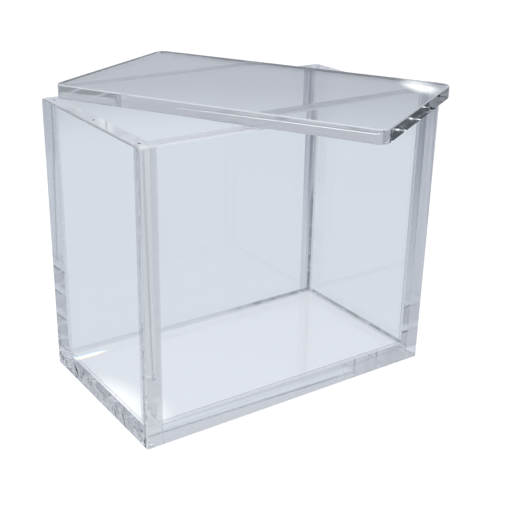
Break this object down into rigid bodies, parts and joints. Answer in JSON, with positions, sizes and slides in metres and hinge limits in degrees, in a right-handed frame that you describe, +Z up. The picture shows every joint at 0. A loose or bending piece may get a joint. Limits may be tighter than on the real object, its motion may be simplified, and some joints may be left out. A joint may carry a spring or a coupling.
{
  "type": "clear lidded box",
  "caption": "Clear rectangular sheet-acrylic box, open at the top, with a loose flat lid plate lying askew on its rim; holds picks and other small items.",
  "frame": {"origin": "centre of the base's underside, which is also the centre of the tray's footprint", "axes": "+Z up out of the open top, +X along the long walls towards the right wall, +Y along the short walls from the front wall to the back wall"},
  "size_m": [0.103, 0.1139, 0.09],
  "materials": {
    "acrylic_base": "clear cast acrylic, polished faces, finely sawn edges",
    "acrylic_wall": "clear cast acrylic, polished",
    "acrylic_lid": "clear cast acrylic, polished faces and edges",
    "cement": "clear cured solvent cement"
  },
  "bodies": {
    "tray": {"base_panel": "acrylic_base", "front_wall": "acrylic_wall", "back_wall": "acrylic_wall", "left_wall": "acrylic_wall", "right_wall": "acrylic_wall", "floor_bead_front": "cement", "floor_bead_back": "cement", "floor_bead_left": "cement", "floor_bead_right": "cement", "corner_bead_front_left": "cement", "corner_bead_front_right": "cement", "corner_bead_back_left": "cement", "corner_bead_back_right": "cement"},
    "lid": {"lid_panel": "acrylic_lid"}
  },
  "joints": [
    {"name": "lid_lift", "type": "slide", "parent": "tray", "child": "lid", "axis": [0, 0, 1], "range_m": [0, 0.06]}
  ]
}
